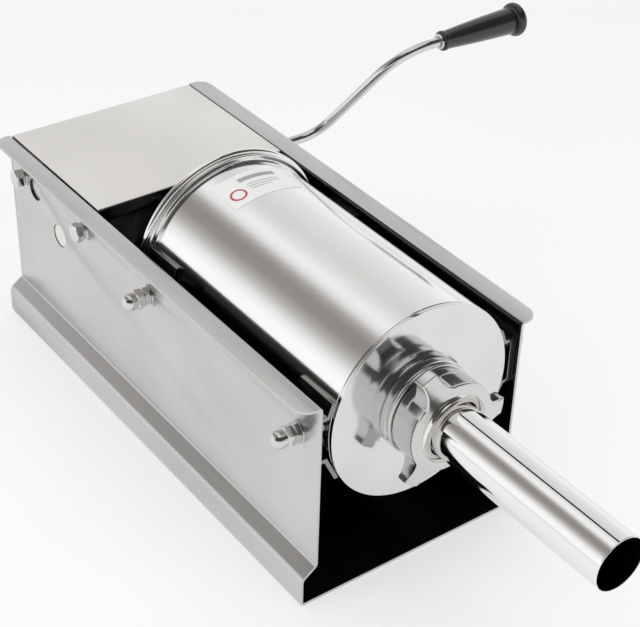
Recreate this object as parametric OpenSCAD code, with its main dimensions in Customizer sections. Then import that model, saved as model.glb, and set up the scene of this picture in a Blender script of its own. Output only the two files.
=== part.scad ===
// Horizontal sausage stuffer with a lift-out meat cylinder, a rack-driven piston and a two-speed
// crank gearbox. The origin is the middle of the body's underside, +Z is up, and the filling tube
// points along -Y. The crank is on the +X side.

/* [Body] */
// Height of the top flanges above the table
body_h = 160; // [140:1:192]
// Sheet thickness of the body
sheet_t = 2; // [1.5:0.1:2.4]
// How far each foot stands out from its side wall
foot_out = 11; // [6:1:14]
// Height of the upright part of each foot
foot_h = 23; // [15:1:28]
// Height of the sloping shoulder above each foot
shoulder_h = 8; // [4:1:12]
// Width of each top flange outside its wall
flange_w = 14; // [10:1:18]
// Corner radius at the ends of the flanges
flange_r = 11; // [4:1:13]
// Free space between the cylinder and each side wall
side_gap = 9; // [8:0.5:12]
// Free space between the cylinder and the gearbox, where the piston clears the cylinder
loading_gap = 46; // [40:1:60]

/* [Cylinder] */
// Outside diameter of the meat cylinder
cyl_od = 142; // [118:1:171]
// Wall thickness of the meat cylinder
cyl_t = 1.5; // [1:0.1:2]
// Length of the meat cylinder with its end disc
cyl_len = 227; // [185:1:275]
// How far the end disc sits behind the front edge of the body
cyl_setback = 2.5; // [1:0.5:6]
// How far the cylinder's axis lies below the top flanges
axis_drop = 32; // [28:1:36]
// Thickness of the cylinder's end disc
disc_t = 3; // [2:0.5:4]
// How far the rolled rim stands out from the cylinder
rim_out = 6.5; // [4:0.5:8]

/* [Clips] */
// Sheet thickness of the spring clips
clip_t = 3; // [2:0.5:4]
// Length of each clip along the cylinder
clip_len = 34; // [26:1:42]
// Half the height of the clip's back
clip_half = 18; // [15:1:20]
// How far the upper lip reaches above the cylinder's axis
clip_up = 27; // [24:1:30]
// How far the lower lip reaches below the cylinder's axis
clip_down = 35; // [30:1:40]

/* [Filling tube] */
// Outside diameter of the filling tube
tube_od = 38.2; // [32:0.1:40]
// Wall thickness of the filling tube
tube_t = 1; // [0.8:0.1:1.2]
// Reach of the filling tube in front of the end disc
tube_reach = 180; // [150:1:216]
// Outside diameter of the outlet's thread
spout_od = 56; // [54:1:64]
// Bore of the outlet
spout_bore = 45; // [40:1:46]
// Length of the outlet in front of the end disc
spout_len = 25; // [22:1:30]
// Radius of the ring nut to the tips of its wings
wing_r = 46.5; // [42:0.5:52]
// Number of wings on the ring nut
wing_n = 3; // [3:1:4]

/* [Piston] */
// How far the piston's face stands behind the end disc at rest
piston_rest = 70; // [50:1:84]
// Thickness of the piston's seal
seal_w = 10; // [8:0.5:12]
// Width of the rack
rack_w = 16; // [14:1:18]
// Height of the rack
rack_h = 14; // [13:1:16]

/* [Gearbox] */
// Length of the gearbox under its cover
gearbox_len = 134.5; // [130:0.5:150]
// Module of the rack and its pinion
rack_mod = 2.5; // [2.4:0.1:2.6]
// Teeth on the rack pinion
rack_pinion_n = 12; // [12:1:13]
// Module of the reduction gears
gear_mod = 1.5; // [1.45:0.01:1.55]
// Teeth on the crank shaft's gear
crank_gear_n = 15; // [14:1:16]
// Teeth on the large gear
large_gear_n = 34; // [33:1:35]
// Diameter of both shafts
shaft_d = 12; // [10:0.5:14]
// Diameter of the round holes in the side walls
wall_hole_d = 18.5; // [18:0.5:20]

/* [Crank] */
// Radius from the crank shaft to the grip
crank_r = 95; // [80:1:114]
// Diameter of the crank's rod
rod_d = 8; // [7:0.5:10]
// Sideways run of the crank's arm
crank_run = 41; // [30:1:50]
// Lean of the resting arm from upright, towards the front
crank_lean = 32; // [0:1:60]
// Length of the grip
grip_len = 82; // [70:1:98]
// Diameter of the grip at its narrow end
grip_d0 = 16; // [14:0.5:20]
// Diameter of the grip at its wide end
grip_d1 = 21.5; // [18:0.5:26]

/* [Fasteners] */
// Thread diameter of the wall bolts
bolt_d = 8; // [6:1:8]
// Width across the flats of the bolt heads and nuts
hex_af = 13; // [12:0.5:13]
// Outside diameter of the flat washers
washer_d = 15.5; // [15:0.5:16]

/* [Hidden] */
$fn = 96;

// Clearances
run_gap = 0.05;      // radial, shaft in a bore
part_gap = 0.3;      // between pieces that move past each other
seat_gap = 0.1;      // between pieces that are bolted together
clip_gap = 0.3;      // between a clip's lip and the cylinder
backlash = 0.42;     // taken off each tooth's width
pressure = 20;       // pressure angle of all teeth
eps = 0.01;

// Body
cyl_r = cyl_od / 2;
wall_in = cyl_r + side_gap;
wall_out = wall_in + sheet_t;
foot_x = wall_out + foot_out;
flange_x = wall_out + flange_w;
axis_z = body_h - axis_drop;
body_len = cyl_setback + cyl_len + loading_gap + gearbox_len;
y_front = -body_len / 2;
y_back = body_len / 2;
disc_y = y_front + cyl_setback;
cyl_back = disc_y + cyl_len;

// Cylinder, clips and outlet
bead_r = 2.7;
step_w = 4;
step_out = 4.5;
rim_w = 2 * bead_r + step_w;
front_clip_y = y_front + 5 + clip_len / 2;
rear_clip_y = cyl_back - rim_w - part_gap - clip_len / 2;
lip_up_deg = 21;
lip_down_deg = 26;
collar_w = 9.5;
collar_od = spout_od + 11;
tube_flange_t = 2.5;
tube_flange_r = spout_od / 2 - 0.2;
gasket_t = 0.8;
bell_r = 5.5;
lip_bore = tube_od + 11.2;
nut_back = collar_w + 0.5;
nut_wall = 4;
nut_bore = spout_od + 2 * part_gap;
nut_r = nut_bore / 2 + nut_wall;
flange_at = spout_len + gasket_t + seat_gap;
lip_at = flange_at + tube_flange_t + part_gap;
nut_front = lip_at + 4.4;
wing_back = nut_back + 7.5;
wing_tip_t = 8;

// Piston and rack
seal_r = cyl_r - cyl_t - part_gap;
plate_r = seal_r - 2.2;
core_r = 40;
plate_t = 5;
piston_y = disc_y + disc_t + piston_rest;
seal_y = piston_y + plate_t;
back_y = seal_y + seal_w;
rack_y0 = back_y + plate_t;
stud_r = 6;
valve_r = 5;
valve_at = 52;
tooth_add = 0.8;
tooth_ded = 1.25;
rack_bottom = axis_z - rack_h / 2;
rack_top = axis_z + rack_h / 2;
rack_pitch_z = rack_bottom + tooth_add * rack_mod;
rack_pitch = PI * rack_mod;
rack_pinion_r = rack_mod * rack_pinion_n / 2;

// Gearbox: the pinion shaft runs under the rack, the crank shaft is a stub on the right
gb_y = y_back - gearbox_len;
cover_t = 1.5;
cover_lip = 12;
cover_z = body_h - cover_t;
shaft_r = shaft_d / 2;
pinion_y = y_back - 75;
pinion_z = rack_pitch_z - rack_pinion_r;
gear_dist = gear_mod * (crank_gear_n + large_gear_n) / 2;
gear_lean = 33.2;
crank_y = pinion_y - gear_dist * sin(gear_lean);
crank_z = pinion_z + gear_dist * cos(gear_lean);
spare_hole_y = pinion_y + 36.5;
spare_hole_z = pinion_z + 22.5;
plate3 = 3;
front_plate_y = gb_y + cover_t + seat_gap;
rear_plate_y = y_back - cover_t - seat_gap - plate3;
frame_top = cover_z - seat_gap;
frame_z0 = pinion_z - 28;
frame_half = wall_in - seat_gap;
bearing_x = rack_w / 2 + 4;
bearing_y0 = front_plate_y + plate3 + seat_gap;
bearing_y1 = rear_plate_y - seat_gap;
tab_z0 = axis_z - 24;
front_tab = 24;
rear_tab = 50;
front_bolt_y = gb_y + 19;
rear_bolt_y = y_back - 21.5;
bolt_z = axis_z + 6;
block_gap = 0.3;
block_half = rack_w / 2 + 6;
block_up = rack_h / 2 + 4;
guide_half = bearing_x - seat_gap;
guide_y0 = pinion_y - 11;
guide_y1 = pinion_y + 31;
guide_z0 = rack_top + block_gap;
guide_z1 = guide_z0 + 12;
guide_screws_y = [guide_y0 + 12, guide_y1 - 8];
gear_x = bearing_x + plate3 + 5;
gear_w = 8;
bush_r = wall_hole_d / 2 - seat_gap;
bush_flange_r = wall_hole_d / 2 + 1.4;
bush_flange_t = 2;
collar_t = 6;
shaft_reach = wall_out + 18;

// Travel reach of the rack behind the pinion when the piston is right at the front
rack_y1 = pinion_y + piston_rest + 16;

// Crank
hub_x = wall_out + 5;
hub_len = 21;
hub_r = 8.5;
bend_x = wall_out + 61;
arm_deg = atan2(crank_r, crank_run);
bend1_r = 26;
bend2_r = 42;
bend_thinning = 0.03;
bar_lap = 1;
grip_x = bend_x + crank_run + 39;
rod_end = grip_x + grip_len + 3;
rod_r = rod_d / 2;
grip_flange_r = grip_d1 / 2 + 3;

// Fasteners
bolt_r = bolt_d / 2;
hex_r = hex_af / 2 / cos(30);
washer_t = 1.6;
spring_t = 2;
head_t = 5.3;
jam_t = 4;
nut_t = 6.5;
dome_hex_t = 6;
dome_r = hex_af / 2 - 0.3;

// Placing -----------------------------------------------------------------------------------

// Profile x to +Y, profile y to +Z, extruded along +X
module along_x(x, y, z) translate([x, y, z]) rotate([90, 0, 90]) children();

// The same, mirrored to the left wall, extruded along -X
module along_minus_x(x, y, z) mirror([1, 0, 0]) along_x(x, y, z) children();

// Local z runs back along +Y from y on the cylinder's axis
module along_y(y) translate([0, y, axis_z]) rotate([-90, 0, 0]) children();

// Local z runs forward from the end disc's face, profile x to +X and profile y to +Z
module in_front() translate([0, disc_y, axis_z]) rotate([90, 0, 0]) children();

// Plane through the crank shaft that holds the arm: local x is +X, local y is along the arm
module in_crank_plane() translate([0, crank_y, crank_z]) rotate([90 + crank_lean, 0, 0]) children();

module ring(r_out, r_in, h) difference() {
    cylinder(r = r_out, h = h);
    translate([0, 0, -1]) cylinder(r = r_in, h = h + 2);
}

module hex(h) cylinder(r = hex_r, h = h, $fn = 6);

// Both wall bolts of the gearbox, on both sides
module at_gearbox_bolts(x) for (y = [front_bolt_y, rear_bolt_y]) {
    along_x(x, y, bolt_z) children();
    along_minus_x(x, y, bolt_z) children();
}

// The four clip bolts
module at_clip_bolts(x) for (y = [front_clip_y, rear_clip_y]) {
    along_x(x, y, axis_z) children();
    along_minus_x(x, y, axis_z) children();
}

// Toothed outlines --------------------------------------------------------------------------

function inv_deg(a) = tan(a) * 180 / PI - a;

// Half the angle that a tooth takes up at radius q of a gear with pitch radius r
function half_tooth(q, r, s) =
    let (rb = r * cos(pressure), a = q > rb ? acos(rb / q) : 0)
    s / (2 * r) * 180 / PI + inv_deg(pressure) - inv_deg(a);

function polar(q, a) = [q * cos(a), q * sin(a)];

// Spur gear outline with one tooth centred on the angle first
module gear_2d(m, n, first) {
    r = m * n / 2;
    s = PI * m / 2 - backlash;
    root = r - tooth_ded * m;
    tip = r + tooth_add * m;
    low = max(root + 0.2, r * cos(pressure));
    steps = [low, low + (tip - low) * 0.35, low + (tip - low) * 0.7, tip];
    polygon([for (i = [0:n - 1]) let (c = first + 360 * i / n) each concat(
        [polar(root, c - half_tooth(low, r, s))],
        [for (q = steps) polar(q, c - half_tooth(q, r, s))],
        [for (k = [3:-1:0]) polar(steps[k], c + half_tooth(steps[k], r, s))],
        [polar(root, c + half_tooth(low, r, s))]
    )]);
}

// Rack outline in (Y, Z), with a gap between teeth centred over the pinion
module rack_2d() {
    s = rack_pitch / 2 - backlash;
    add = tooth_add * rack_mod;
    ded = tooth_ded * rack_mod;
    root_z = rack_pitch_z + ded;
    tip_half = s / 2 - add * tan(pressure);
    root_half = s / 2 + ded * tan(pressure);
    first = ceil((rack_y0 + 12 - pinion_y) / rack_pitch);
    last = floor((rack_y1 - 3 - pinion_y) / rack_pitch) - 1;
    polygon(concat(
        [[rack_y1, rack_top], [rack_y0, rack_top], [rack_y0, rack_bottom],
            [pinion_y + first * rack_pitch - 1, rack_bottom],
            [pinion_y + first * rack_pitch - 1 + 2, root_z]],
        [for (k = [first:last]) let (c = pinion_y + (k + 0.5) * rack_pitch) each [
            [c - root_half, root_z], [c - tip_half, rack_bottom],
            [c + tip_half, rack_bottom], [c + root_half, root_z]]],
        [[rack_y1, root_z]]
    ));
}

// Body --------------------------------------------------------------------------------------

// Right half of the bent sheet's cross-section, outside going up and inside coming down
function sheet_side() =
    let (m = shoulder_h / foot_out, v = sheet_t * sqrt(1 + m * m))
    [
        [foot_x, 0], [foot_x, foot_h], [wall_out, foot_h + shoulder_h],
        [wall_out, body_h - sheet_t], [flange_x, body_h - sheet_t], [flange_x, body_h],
        [wall_in, body_h], [wall_in, foot_h + (foot_x - wall_in) * m - v],
        [foot_x - sheet_t, foot_h + sheet_t * m - v], [foot_x - sheet_t, sheet_t]
    ];

module flange_corner(sx, sy) {
    big = flange_r + 1;
    translate([sx * (flange_x - flange_r), sy * (body_len / 2 - flange_r), body_h - sheet_t - 1])
        difference() {
            translate([sx > 0 ? 0 : -big, sy > 0 ? 0 : -big, 0]) cube([big, big, sheet_t + 2]);
            translate([0, 0, -1]) cylinder(r = flange_r, h = sheet_t + 4);
        }
}

module wall_hole(y, z, r) along_x(-foot_x, y, z) cylinder(r = r, h = 2 * foot_x);

module body_shell() color("gainsboro") difference() {
    right = sheet_side();
    left = [for (i = [len(right) - 1:-1:0]) [-right[i][0], right[i][1]]];
    translate([0, y_back, 0]) rotate([90, 0, 0])
        linear_extrude(height = body_len) polygon(concat(right, left));
    for (sx = [-1, 1], sy = [-1, 1]) flange_corner(sx, sy);
    for (y = [front_clip_y, rear_clip_y]) wall_hole(y, axis_z, bolt_r + seat_gap);
    for (y = [front_bolt_y, rear_bolt_y]) wall_hole(y, bolt_z, bolt_r + seat_gap);
    wall_hole(pinion_y, pinion_z, wall_hole_d / 2);
    wall_hole(spare_hole_y, spare_hole_z, wall_hole_d / 2 - 0.4);
    along_x(0, crank_y, crank_z) cylinder(r = wall_hole_d / 2, h = foot_x);
}

// Gearbox housing ---------------------------------------------------------------------------

cover_screws_x = [-52, 52];
cover_screw_r = 2;

module gearbox_cover() color("lightgray") difference() {
    half = wall_in - part_gap;
    union() {
        translate([-half, gb_y, cover_z]) cube([2 * half, gearbox_len, cover_t]);
        for (y = [gb_y, y_back - cover_t])
            translate([-half, y, body_h - cover_lip]) cube([2 * half, cover_t, cover_lip]);
    }
    for (x = cover_screws_x) translate([x, y_back - 6, body_h - 7])
        rotate([-90, 0, 0]) cylinder(r = cover_screw_r + seat_gap, h = 10);
}

module cover_screws() color("silver") for (x = cover_screws_x)
    translate([x, y_back + seat_gap, body_h - 7]) rotate([-90, 0, 0]) {
        translate([0, 0, -8]) cylinder(r = cover_screw_r, h = 8 + eps);
        cylinder(r = 3.6, h = 2.2);
    }

// Cross plate with a tab folded back along each wall. dir is +1 when the tabs point to the rear.
module cross_plate(y, tab, dir) {
    translate([-frame_half, y, frame_z0])
        cube([2 * frame_half, plate3, frame_top - frame_z0]);
    for (sx = [-1, 1])
        translate([sx > 0 ? frame_half - plate3 : -frame_half, dir > 0 ? y : y + plate3 - tab, tab_z0])
            cube([plate3, tab, frame_top - tab_z0]);
}

module gearbox_front_plate() color("dimgray") difference() {
    cross_plate(front_plate_y, front_tab, 1);
    translate([-block_half - seat_gap, front_plate_y - 1, axis_z - block_up - seat_gap])
        cube([2 * (block_half + seat_gap), plate3 + 2, 2 * (block_up + seat_gap)]);
    wall_hole(front_bolt_y, bolt_z, bolt_r + seat_gap);
}

module gearbox_rear_plate() color("dimgray") difference() {
    cross_plate(rear_plate_y, rear_tab, -1);
    translate([-rack_w / 2 - 3, rear_plate_y - 1, rack_bottom - 3])
        cube([rack_w + 6, plate3 + 2, rack_h + 6]);
    wall_hole(rear_bolt_y, bolt_z, bolt_r + seat_gap);
    for (x = cover_screws_x) translate([x, rear_plate_y - 1, body_h - 7])
        rotate([-90, 0, 0]) cylinder(r = cover_screw_r + seat_gap, h = plate3 + 2);
}

// Plate beside the rack that carries the shafts, starting at x and running to +X
module bearing_plate(x) difference() {
    translate([x, bearing_y0, frame_z0 + 4])
        cube([plate3, bearing_y1 - bearing_y0, frame_top - frame_z0 - 4]);
    along_x(x - 1, pinion_y, pinion_z) cylinder(r = wall_hole_d / 2, h = plate3 + 2);
    for (y = guide_screws_y) along_x(x - 1, y, guide_z0 + 6)
        cylinder(r = 2.5 + seat_gap, h = plate3 + 2);
}

module left_bearing_plate() color("slategray") bearing_plate(-bearing_x - plate3);

module right_bearing_plate() color("slategray") difference() {
    bearing_plate(bearing_x);
    along_x(bearing_x - 1, crank_y, crank_z) cylinder(r = wall_hole_d / 2, h = plate3 + 2);
}

module gearbox_bolts() color("silver") at_gearbox_bolts(wall_out + washer_t + spring_t) {
    hex(head_t);
    translate([0, 0, -(washer_t + spring_t + sheet_t + plate3 + nut_t + 2)])
        cylinder(r = bolt_r, h = washer_t + spring_t + sheet_t + plate3 + nut_t + 2 + eps);
}

module gearbox_washers() color("silver")
    at_gearbox_bolts(wall_out) ring(washer_d / 2, bolt_r + seat_gap, washer_t);

module spring_washers() color("gray") at_gearbox_bolts(wall_out + washer_t) difference() {
    ring(hex_af / 2 + 0.3, bolt_r + seat_gap, spring_t);
    translate([0, -0.5, -1]) cube([hex_af, 1, spring_t + 2]);
}

module gearbox_nuts() color("silver")
    at_gearbox_bolts(frame_half - plate3 - nut_t - eps) difference() {
        hex(nut_t);
        translate([0, 0, -1]) cylinder(r = bolt_r + run_gap, h = nut_t + 2);
    }

// Flanged bush for a plate of thickness t. Local z = 0 is the plate's face on the flange's side.
module bush(t, flange_t) rotate_extrude() {
    bore = shaft_r + run_gap;
    polygon([[bore, -flange_t], [bush_flange_r, -flange_t], [bush_flange_r, 0], [bush_r, 0],
        [bush_r, t], [bore, t]]);
}

// Bush in a side wall: flush outside, flange inside
module wall_bush() bush(sheet_t, bush_flange_t);

module wall_bushes() color("white") {
    along_x(wall_in, pinion_y, pinion_z) wall_bush();
    along_minus_x(wall_in, pinion_y, pinion_z) wall_bush();
    along_x(wall_in, crank_y, crank_z) wall_bush();
}

// Bush in a bearing plate: flange on the side away from the rack
module plate_bush() translate([0, 0, plate3]) mirror([0, 0, 1]) bush(plate3, 1.5);

module plate_bushes() color("white") {
    along_x(bearing_x, pinion_y, pinion_z) plate_bush();
    along_minus_x(bearing_x, pinion_y, pinion_z) plate_bush();
    along_x(bearing_x, crank_y, crank_z) plate_bush();
}

// Nylon block that guides the rack through the front plate
module rack_slide_block() color("whitesmoke") difference() {
    translate([-block_half, front_plate_y, axis_z - block_up])
        cube([2 * block_half, plate3 + 5, 2 * block_up]);
    translate([-rack_w / 2 - block_gap, front_plate_y - 1, rack_bottom - block_gap])
        cube([rack_w + 2 * block_gap, plate3 + 7, rack_h + 2 * block_gap]);
    for (sx = [-1, 1]) translate([sx > 0 ? bearing_x - seat_gap : -block_half - 1,
            bearing_y0 - seat_gap, axis_z - block_up - 1])
        cube([block_half - bearing_x + 1 + seat_gap, 9, 2 * block_up + 2]);
}

module rack_guide() color("whitesmoke") difference() {
    translate([-guide_half, guide_y0, guide_z0])
        cube([2 * guide_half, guide_y1 - guide_y0, guide_z1 - guide_z0]);
    for (y = guide_screws_y) along_x(-guide_half - 1, y, guide_z0 + 6)
        cylinder(r = 2.5 + run_gap, h = 2 * guide_half + 2);
}

module guide_screws() color("silver") for (y = guide_screws_y)
    along_x(-bearing_x - plate3, y, guide_z0 + 6) {
        translate([0, 0, -1]) cylinder(r = 2.5, h = 2 * (bearing_x + plate3) + 4);
        translate([0, 0, -3]) cylinder(r = 4.5, h = 3);
        translate([0, 0, 2 * (bearing_x + plate3)]) cylinder(r = 4.4, h = 3.5, $fn = 6);
    }

// Cylinder clips ----------------------------------------------------------------------------

// Cross-section of a right-hand clip in (X, Z) about the cylinder's axis: a back on the wall, two
// shelves, and two lips that lie along the cylinder's tangents
module clip_2d() {
    r = cyl_r + clip_gap;
    back = wall_in - seat_gap;
    h = clip_half;
    function up(z, t) = [(r + t - z * sin(lip_up_deg)) / cos(lip_up_deg), z];
    function down(z, t) = [(r + t + z * sin(lip_down_deg)) / cos(lip_down_deg), z];
    polygon([
        [back, -h], [back, h], up(h, clip_t), up(clip_up, clip_t), up(clip_up, 0),
        up(h - clip_t, 0), [back - clip_t, h - clip_t], [back - clip_t, clip_t - h],
        down(clip_t - h, 0), down(-clip_down, 0), down(-clip_down, clip_t), down(-h, clip_t)
    ]);
}

module clip(y) difference() {
    translate([0, y + clip_len / 2, axis_z]) rotate([90, 0, 0])
        linear_extrude(height = clip_len) clip_2d();
    along_x(wall_in - 10, y, axis_z) cylinder(r = bolt_r + seat_gap, h = 20);
}

module front_right_clip() color("silver") clip(front_clip_y);
module rear_right_clip() color("silver") clip(rear_clip_y);
module front_left_clip() color("silver") mirror([1, 0, 0]) clip(front_clip_y);
module rear_left_clip() color("silver") mirror([1, 0, 0]) clip(rear_clip_y);

clip_face = wall_in - seat_gap - clip_t;
button_t = 3;

module clip_bolts() color("silver") at_clip_bolts(clip_face - button_t) {
    cylinder(r = 7, h = button_t);
    cylinder(r = bolt_r, h = wall_out + washer_t + jam_t + 11 - clip_face + button_t);
}

module clip_washers() color("silver")
    at_clip_bolts(wall_out) ring(washer_d / 2, bolt_r + seat_gap, washer_t);

module clip_jam_nuts() color("silver") at_clip_bolts(wall_out + washer_t) difference() {
    hex(jam_t);
    translate([0, 0, -1]) cylinder(r = bolt_r + run_gap, h = jam_t + 2);
}

module dome_nuts() color("white") at_clip_bolts(wall_out + washer_t + jam_t) difference() {
    union() {
        hex(dome_hex_t);
        translate([0, 0, dome_hex_t - eps]) cylinder(r = dome_r, h = 3);
        translate([0, 0, dome_hex_t + 3 - 2 * eps]) intersection() {
            sphere(r = dome_r);
            cylinder(r = dome_r + 1, h = dome_r + 1);
        }
    }
    translate([0, 0, -1]) cylinder(r = bolt_r + run_gap, h = 13);
}

// Meat cylinder -----------------------------------------------------------------------------

module meat_cylinder() color("white") along_y(disc_y) rotate_extrude() {
    translate([cyl_r - cyl_t, disc_t]) square([cyl_t, cyl_len - disc_t]);
    translate([cyl_r - cyl_t / 2, cyl_len - rim_w]) square([step_out + cyl_t / 2, step_w]);
    translate([cyl_r - cyl_t / 2, cyl_len - 2 * bead_r])
        square([rim_out - bead_r + cyl_t / 2, 2 * bead_r]);
    translate([cyl_r + rim_out - bead_r, cyl_len - bead_r]) circle(r = bead_r);
}

module cylinder_end_disc() color("gainsboro") along_y(disc_y)
    ring(cyl_r, spout_od / 2 + seat_gap / 2, disc_t);

module outlet_spout() color("silver") in_front() rotate_extrude() {
    translate([spout_bore / 2, -disc_t])
        square([(spout_od - spout_bore) / 2, disc_t + spout_len]);
    translate([spout_od / 2 - 1, 0]) square([(collar_od - spout_od) / 2 + 1, collar_w]);
}

module tube_gasket() color("black") in_front() translate([0, 0, spout_len])
    ring(tube_flange_r, spout_bore / 2, gasket_t);

// Thin tube with a belled foot and a flange that the ring nut holds
module filling_tube() color("white") in_front() {
    r = tube_od / 2;
    bell_z = flange_at + tube_flange_t + bell_r;
    rotate_extrude() difference() {
        union() {
            translate([r - tube_t, flange_at]) square([tube_t, tube_reach - flange_at]);
            translate([r - tube_t, flange_at])
                square([tube_flange_r - r + tube_t, tube_flange_t]);
            difference() {
                translate([r - tube_t, flange_at + tube_flange_t - eps])
                    square([tube_t + bell_r, bell_r + eps]);
                translate([r + bell_r, bell_z]) circle(r = bell_r);
            }
        }
        difference() {
            translate([0, flange_at - 1]) square([r + 2.9, bell_z - flange_at + 1]);
            translate([r + bell_r, bell_z]) circle(r = bell_r + tube_t);
        }
    }
}

// Wings of the ring nut: each flares out to its tip between two hollows
module wings_2d() {
    tip_half = 8;
    hollow_r = (wing_r - nut_r) + 2;
    hollow_at = nut_r + hollow_r - 0.6;
    side = tip_half + asin(hollow_r / hollow_at);
    circle(r = nut_r);
    for (k = [0:wing_n - 1]) rotate(114 + 360 * k / wing_n) difference() {
        intersection() {
            circle(r = wing_r);
            polygon([[0, 0], 2 * wing_r * [cos(side), -sin(side)], [2 * wing_r, 0],
                2 * wing_r * [cos(side), sin(side)]]);
        }
        for (a = [-side, side]) rotate(a) translate([hollow_at, 0]) circle(r = hollow_r);
    }
}

module ring_nut() color("silver") in_front() difference() {
    union() {
        translate([0, 0, nut_back]) cylinder(r = nut_r - 0.6, h = nut_front - nut_back - 5);
        translate([0, 0, wing_back]) linear_extrude(height = nut_front - wing_back) wings_2d();
    }
    // Sloping faces in front of and behind the wings
    rotate_extrude() polygon([
        [lip_bore / 2 + 2, nut_front], [wing_r + 1, nut_front - 6],
        [wing_r + 1, nut_front + 1], [lip_bore / 2 + 2, nut_front + 1]]);
    rotate_extrude() polygon([
        [nut_r, wing_back - 1], [nut_r, wing_back + 0.5],
        [wing_r + 1, nut_front - 6 - wing_tip_t], [wing_r + 1, wing_back - 1]]);
    translate([0, 0, nut_back - 1]) cylinder(r = nut_bore / 2, h = lip_at - nut_back + 1);
    cylinder(r = lip_bore / 2, h = nut_front + 1);
}

// Piston ------------------------------------------------------------------------------------

module valve_hole(h) translate([0, -valve_at, -1]) cylinder(r = valve_r + run_gap, h = h + 2);

module piston_front_plate() color("gainsboro") along_y(piston_y) difference() {
    union() {
        cylinder(r = plate_r, h = plate_t);
        cylinder(r = core_r - run_gap, h = plate_t + seal_w);
    }
    translate([0, 0, -1]) cylinder(r = stud_r + run_gap, h = plate_t + seal_w + 2);
    valve_hole(plate_t);
}

module piston_seal() color("black") along_y(seal_y) difference() {
    ring(seal_r, core_r, seal_w);
    translate([0, 0, seal_w / 2]) ring(seal_r + 1, seal_r - 1.5, 2);
    valve_hole(seal_w);
}

module piston_back_plate() color("gainsboro") along_y(back_y) difference() {
    ring(plate_r, stud_r + run_gap, plate_t);
    valve_hole(plate_t);
}

module piston_nut() color("silver") along_y(piston_y) rotate([180, 0, 0]) difference() {
    union() {
        cylinder(r = 13, h = 1.5);
        cylinder(r = 11, h = 8, $fn = 6);
        translate([0, 0, 8 - eps]) cylinder(r1 = 9, r2 = 5, h = 3);
    }
    translate([0, 0, -1]) cylinder(r = stud_r + run_gap, h = 8);
}

module air_valve() color("silver") along_y(piston_y) translate([0, -valve_at, 0]) {
    cylinder(r = valve_r, h = rack_y0 - piston_y);
    translate([0, 0, rack_y0 - piston_y]) cylinder(r = 8, h = 2.5);
}

module rack() color("gray") {
    along_x(-rack_w / 2, 0, 0) linear_extrude(height = rack_w) rack_2d();
    along_y(piston_y - 6) cylinder(r = stud_r, h = rack_y0 - piston_y + 6 + eps);
}

// Shafts and gears --------------------------------------------------------------------------

module pinion_shaft() color("silver") along_x(-wall_out, pinion_y, pinion_z)
    cylinder(r = shaft_r, h = wall_out + shaft_reach);

module rack_pinion() color("gray") along_x(-rack_w / 2 + 0.5, pinion_y, pinion_z) difference() {
    linear_extrude(height = rack_w - 1) gear_2d(rack_mod, rack_pinion_n, 90);
    translate([0, 0, -1]) cylinder(r = shaft_r + run_gap, h = rack_w + 2);
}

module large_gear() color("gray") along_x(gear_x, pinion_y, pinion_z) difference() {
    union() {
        linear_extrude(height = gear_w) gear_2d(gear_mod, large_gear_n, 90 + gear_lean);
        translate([0, 0, gear_w - eps]) cylinder(r = shaft_r + 6, h = 7);
    }
    translate([0, 0, -1]) cylinder(r = shaft_r + run_gap, h = gear_w + 9);
}

module pinion_shaft_collars() color("silver") for (sx = [0, 1]) mirror([sx, 0, 0])
    along_x(wall_in - bush_flange_t - part_gap - collar_t, pinion_y, pinion_z)
        ring(shaft_r + 5, shaft_r + run_gap, collar_t);

module crank_shaft() color("silver") along_x(bearing_x + part_gap, crank_y, crank_z)
    cylinder(r = shaft_r, h = shaft_reach - bearing_x - part_gap);

module crank_gear() color("gray") along_x(gear_x - 1, crank_y, crank_z) difference() {
    union() {
        linear_extrude(height = gear_w + 2)
            gear_2d(gear_mod, crank_gear_n, 270 + gear_lean + 180 / crank_gear_n);
        translate([0, 0, gear_w + 2 - eps]) cylinder(r = shaft_r + 3.5, h = 6);
    }
    translate([0, 0, -1]) cylinder(r = shaft_r + run_gap, h = gear_w + 10);
}

module crank_shaft_collar() color("silver")
    along_x(wall_in - bush_flange_t - part_gap - collar_t, crank_y, crank_z)
        ring(shaft_r + 4, shaft_r + run_gap, collar_t);

// Crank -------------------------------------------------------------------------------------

screw_x = hub_x + 9.5;

module crank_hub() color("silver") difference() {
    along_x(hub_x, crank_y, crank_z) union() {
        cylinder(r = hub_r, h = hub_len - 2);
        translate([0, 0, hub_len - 2 - eps]) cylinder(r1 = hub_r, r2 = hub_r - 2, h = 2);
    }
    along_x(hub_x - 1, crank_y, crank_z)
        cylinder(r = shaft_r + run_gap, h = shaft_reach - hub_x + 1 + seat_gap);
    along_x(hub_x, crank_y, crank_z) translate([0, 0, shaft_reach - hub_x + 2])
        cylinder(r = rod_r + run_gap, h = hub_len);
    in_crank_plane() translate([screw_x, -shaft_r, 0]) rotate([90, 0, 0])
        cylinder(r = 2.5 + run_gap, h = hub_r);
}

module thumb_screw() color("silver") in_crank_plane()
    translate([screw_x, -shaft_r - 0.2, 0]) rotate([90, 0, 0]) {
        cylinder(r = 2.5, h = 4.5);
        translate([0, 0, 3.6]) cylinder(r = 5, h = 6);
    }

// Round bar bent through bend_r, drawn from the bend's start and turning towards local +y
module bent_bar(bend_r, deg) translate([0, bend_r, 0]) rotate([0, 0, -90])
    rotate_extrude(angle = deg) translate([bend_r, 0]) circle(r = rod_r - bend_thinning);

// Straight length of the bar along local x, run on a little into the bend at each end named
module straight_bar(x0, x1, lap0, lap1) translate([x0 - lap0, 0, 0]) rotate([0, 90, 0])
    cylinder(r = rod_r, h = x1 - x0 + lap0 + lap1);

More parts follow.
